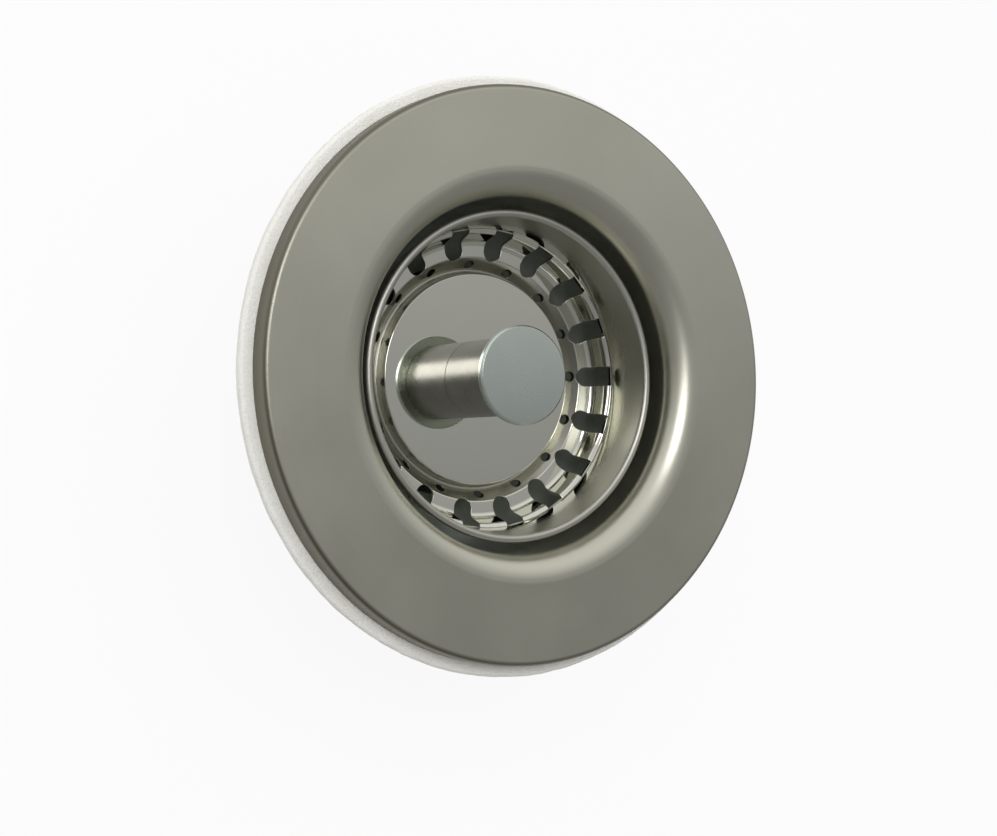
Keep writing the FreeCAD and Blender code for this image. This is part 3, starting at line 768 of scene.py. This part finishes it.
def makeOutlet(s):
    lead, root, seatRound = threadForm["lead"], outletThread["root"], s["seatRound"]
    rows = roundPath([
        (s["bore"], s["seat"], seatRound), (s["bore"], 0, s["mouthRound"]), (root, 0, s["tailRound"]),
        (root, outletThread["low"] - lead, 0), (s["relief"], s["reliefFrom"] + 2 * lead, 0),
        (s["relief"], s["flangeLow"], s["reliefRound"]), (s["flange"], s["flangeLow"], s["flangeRound"]),
        (s["flange"], s["high"], s["topRound"]), (s["seatBore"], s["high"], seatRound),
        (s["seatBore"], s["seat"], seatRound)])
    return lathe("outletTail", withThread(rows, outletThread), s["columns"], wave=threadWave(outletThread))


addPiece("outletTail", makeOutlet(outletSizes), "strainer", "plated_brass", platedBrass, "outlet_neck")
print("outlet made")

# clamping rings and lock nut below the sink
blackRubber = mouldedMaterial("blackRubber", {
    "dark": (0.014, 0.014, 0.015), "light": (0.032, 0.032, 0.033), "gloss": (0.45, 0.7),
    "grains": 3, "grainDepth": 0.03, "patches": 120})
fibreBoard = mouldedMaterial("fibreBoard", {
    "dark": (0.30, 0.21, 0.12), "light": (0.46, 0.35, 0.22), "gloss": (0.75, 0.95),
    "grains": 5, "grainDepth": 0.06, "patches": 400})
greyPlastic = mouldedMaterial("greyPlastic", {
    "dark": (0.30, 0.31, 0.31), "light": (0.36, 0.37, 0.37), "gloss": (0.35, 0.5),
    "grains": 6, "grainDepth": 0.02, "patches": 90})

rubberSizes = {"bore": 37.5, "outer": 47.5, "low": 45.6, "high": 48.8, "round": 0.5, "columns": 192}
addPiece("sinkGasket", makeTube("sinkGasket", rubberSizes), "clamp_rings", "black_rubber", blackRubber,
         "sink_gasket")
fibreSizes = {"bore": 37.5, "outer": 48.0, "low": 44.4, "high": 45.6, "round": 0.2, "columns": 192}
addPiece("fibreRing", makeTube("fibreRing", fibreSizes), "clamp_rings", "fibre", fibreBoard,
         "friction_washer")

nutSizes = {
    "bore": 37.05, "hub": 41.45, "flange": 48.45, "flangeLow": 41.8, "low": 36.4, "high": 44.4, "edge": 0.4,
    "lugs": 8, "lugWidth": 7.0, "lugReach": 47.45, "lugRound": 1.2, "lugLead": 0.1, "tipFrom": 2.4,
    "tipFlat": 0.33, "footGap": 0.02, "footRun": 0.5, "hubSteps": 8, "roundSteps": 6, "columnShift": 0.55,
    "lugFoot": 0.15, "lugFlare": 0.12, "underRound": 0.6, "topRound": 0.5, "roundShare": 0.3,
}


def nutOutline(s):
    half, tip, ease, hub = s["lugWidth"] / 2, s["lugReach"], s["lugRound"], s["hub"]
    turn, foot = 2 * math.pi / s["lugs"], math.asin(half / hub)
    hubTurn = turn / 2 - foot - s["footGap"]
    arc = [-turn / 2 + hubTurn * j / s["hubSteps"] for j in range(s["hubSteps"] + 1)]
    bends = [math.radians(90 / s["roundSteps"] * j) for j in range(1, s["roundSteps"] + 1)]
    side = [(hub * math.cos(t), hub * math.sin(t)) for t in arc]
    side += [(hub * math.cos(foot) + s["footRun"], -half), (tip - s["tipFrom"], -half)]
    side += [(tip - s["lugLead"] - ease + ease * math.sin(b), -half + ease - ease * math.cos(b)) for b in bends]
    side += [(tip, -half * s["tipFlat"]), (tip, half * s["tipFlat"])]
    side += [(x, -y) for x, y in reversed(side[1:-2])]
    return [turned((x, y, 0), k * turn)[:2] for k in range(s["lugs"]) for x, y in side]


def makeNut(s):
    outline = nutOutline(s)
    count = len(outline)
    bearings = []  # columns of the round levels, part of the way to those of the lugs
    for j, (x, y) in enumerate(outline):
        even = 2 * math.pi * j / count - math.pi / s["lugs"]
        gap = (math.atan2(y, x) - even + math.pi) % (2 * math.pi) - math.pi
        bearings.append(even + gap * s["columnShift"])
    bore, flange, low, high, under = (s[name] for name in ("bore", "flange", "low", "high", "flangeLow"))
    edge, underRound, topRound = s["edge"], s["underRound"], s["topRound"]
    edgeBend, underBend, topBend = (size * s["roundShare"] for size in (edge, underRound, topRound))
    levels = [  # a round level has its radius, a level of lugs what it draws in
        ("round", bore + edge, low), ("lugs", edge, low), ("lugs", edgeBend, low + edgeBend),
        ("lugs", 0, low + edge), ("lugs", 0, under - s["lugFoot"]), ("lugs", -s["lugFlare"], under),
        ("round", flange - underRound, under), ("round", flange - underBend, under + underBend),
        ("round", flange, under + underRound), ("round", flange, high - topRound),
        ("round", flange - topBend, high - topBend), ("round", flange - topRound, high),
        ("round", bore + edge, high), ("round", bore, high - edge), ("round", bore, low + edge)]
    points, faces = [], []
    for kind, size, z in levels:
        if kind == "round":
            points += [(size * math.cos(t), size * math.sin(t), z) for t in bearings]
            continue
        for x, y in outline:
            length = math.hypot(x, y)
            points.append((x * (length - size) / length, y * (length - size) / length, z))
    for i in range(len(levels)):
        k = (i + 1) % len(levels)
        for j in range(count):
            n = (j + 1) % count
            faces.append([i * count + j, i * count + n, k * count + n, k * count + j])
    return makeMesh("lockNut", points, faces, None, sharp=32)


addPiece("lockNut", makeNut(nutSizes), "nut", "grey_plastic", greyPlastic, "lock_nut")
print("clamping rings and nut made")

# finishes of the solids that keep their own shape
whitePlastic = mouldedMaterial("whitePlastic", {
    "dark": (0.74, 0.74, 0.71), "light": (0.82, 0.82, 0.80), "gloss": (0.3, 0.45),
    "grains": 6, "grainDepth": 0.015, "patches": 150})
blackPlastic = mouldedMaterial("blackPlastic", {
    "dark": (0.018, 0.018, 0.019), "light": (0.034, 0.034, 0.035), "gloss": (0.3, 0.48),
    "grains": 6, "grainDepth": 0.015, "patches": 150})
brightSteel = steelMaterial("brightSteel", {
    "dark": (0.56, 0.56, 0.53), "light": (0.66, 0.66, 0.63), "gloss": (0.14, 0.26),
    "lines": 5, "waver": 4, "patches": 130, "lineDepth": 0.002})
finishes = {
    "crossbar": brightSteel, "catch_bush": whitePlastic, "post_rod": brightSteel, "plate_washer": brightSteel,
    "spacer": whitePlastic, "stopper_backing": brightSteel, "stopper": blackRubber, "stopper_washer": brightSteel,
    "stopper_nut": brightSteel, "catch_sleeve": whitePlastic, "catch_ring": blackRubber, "end_cap": blackPlastic,
}
for name, material in finishes.items():
    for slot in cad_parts[name].material_slots:
        slot.material = material
print("kept solids finished:", len(finishes))

# floor: white where it is seen, with the object's soft shadow
floorLook = {"half": 8.0, "colour": (0.86, 0.86, 0.86), "glow": 0.9}
floorMesh = bpy.data.meshes.new("floor")
half = floorLook["half"]
floorCorners = [(-half, -half, 0), (half, -half, 0), (half, half, 0), (-half, half, 0)]
floorMesh.from_pydata(floorCorners, [], [(0, 1, 2, 3)])
floor = bpy.data.objects.new("floor", floorMesh)
scene.collection.objects.link(floor)
floorPaint = bpy.data.materials.new("floorPaint")
floorPaint.use_nodes = True
tree = floorPaint.node_tree
tree.nodes.clear()
paint = tree.nodes.new("ShaderNodeBsdfDiffuse")
paint.inputs["Color"].default_value = (*floorLook["colour"], 1)
glow = tree.nodes.new("ShaderNodeEmission")
rays = tree.nodes.new("ShaderNodeLightPath").outputs
mirrored = mathNode(tree, "MAXIMUM", rays["Is Glossy Ray"], rays["Is Transmission Ray"])
seen = mathNode(tree, "MAXIMUM", rays["Is Camera Ray"], mirrored)
blend = tree.nodes.new("ShaderNodeMixShader")
wire(tree, mathNode(tree, "MULTIPLY", seen, floorLook["glow"]), blend.inputs[0])
wire(tree, paint.outputs[0], blend.inputs[1])
wire(tree, glow.outputs[0], blend.inputs[2])
surface = tree.nodes.new("ShaderNodeOutputMaterial")
wire(tree, blend.outputs[0], surface.inputs["Surface"])
floorMesh.materials.append(floorPaint)

# studio: a soft sky, brighter at one side, one soft box overhead and a fill without reflections
studio = {"middle": 0.345, "fall": 0.75, "least": 0.25, "most": 0.85, "far": 1.3, "target": (0, 0, 0.06)}
boxes = {"softBox": {"aim": (-0.30, -0.43, 0.85), "size": (0.50, 0.70), "level": 4.0, "reflects": True},
         "fill": {"aim": (-0.1, -0.1, 0.95), "size": (2.0, 2.0), "level": 0.55, "reflects": False}}
world = bpy.data.worlds.new("studio")
scene.world = world
world.use_nodes = True
tree = world.node_tree
sky = tree.nodes["Background"]
aim = tree.nodes.new("ShaderNodeTexCoord")
aimParts = tree.nodes.new("ShaderNodeSeparateXYZ")
wire(tree, aim.outputs["Generated"], aimParts.inputs[0])
level = mathNode(tree, "MULTIPLY_ADD", aimParts.outputs["X"], -studio["fall"], studio["middle"])
level = mathNode(tree, "MINIMUM", mathNode(tree, "MAXIMUM", level, studio["least"]), studio["most"])
wire(tree, level, sky.inputs["Strength"])
sky.inputs["Color"].default_value = (1, 1, 1, 1)
for name, look in boxes.items():
    lamp = bpy.data.lights.new(name, "AREA")
    lamp.shape = "RECTANGLE"
    lamp.size, lamp.size_y = look["size"]
    lamp.energy = look["level"] * math.pi * lamp.size * lamp.size_y
    box = bpy.data.objects.new(name, lamp)
    box.location = Vector(look["aim"]).normalized() * studio["far"] + Vector(studio["target"])
    box.rotation_euler = Vector(look["aim"]).to_track_quat("Z", "Y").to_euler()
    box.visible_glossy = look["reflects"]
    scene.collection.objects.link(box)

# camera at the photograph's angle; its place is in mm
cameraSizes = {"lens": 65.0, "sensor": 36.0, "clip": 0.01, "place": (16.194, -189.483, 358.545),
               "right": (0.0135, 0.8527, 0.5222), "back": (0.0220, -0.5224, 0.8524)}
cameraData = bpy.data.cameras.new("camera")
cameraData.lens = cameraSizes["lens"]
cameraData.sensor_width = cameraSizes["sensor"]
cameraData.sensor_fit = "HORIZONTAL"
cameraData.clip_start = cameraSizes["clip"]
camera = bpy.data.objects.new("camera", cameraData)
back = Vector(cameraSizes["back"]).normalized()
right = Vector(cameraSizes["right"])
right = (right - back * right.dot(back)).normalized()
turnMatrix = Matrix((right, back.cross(right), back)).transposed().to_4x4()
camera.matrix_world = Matrix.Translation(Vector(cameraSizes["place"]) * mm) @ turnMatrix
scene.collection.objects.link(camera)
scene.camera = camera
scene.view_settings.view_transform = "Standard"
print("studio and camera set")
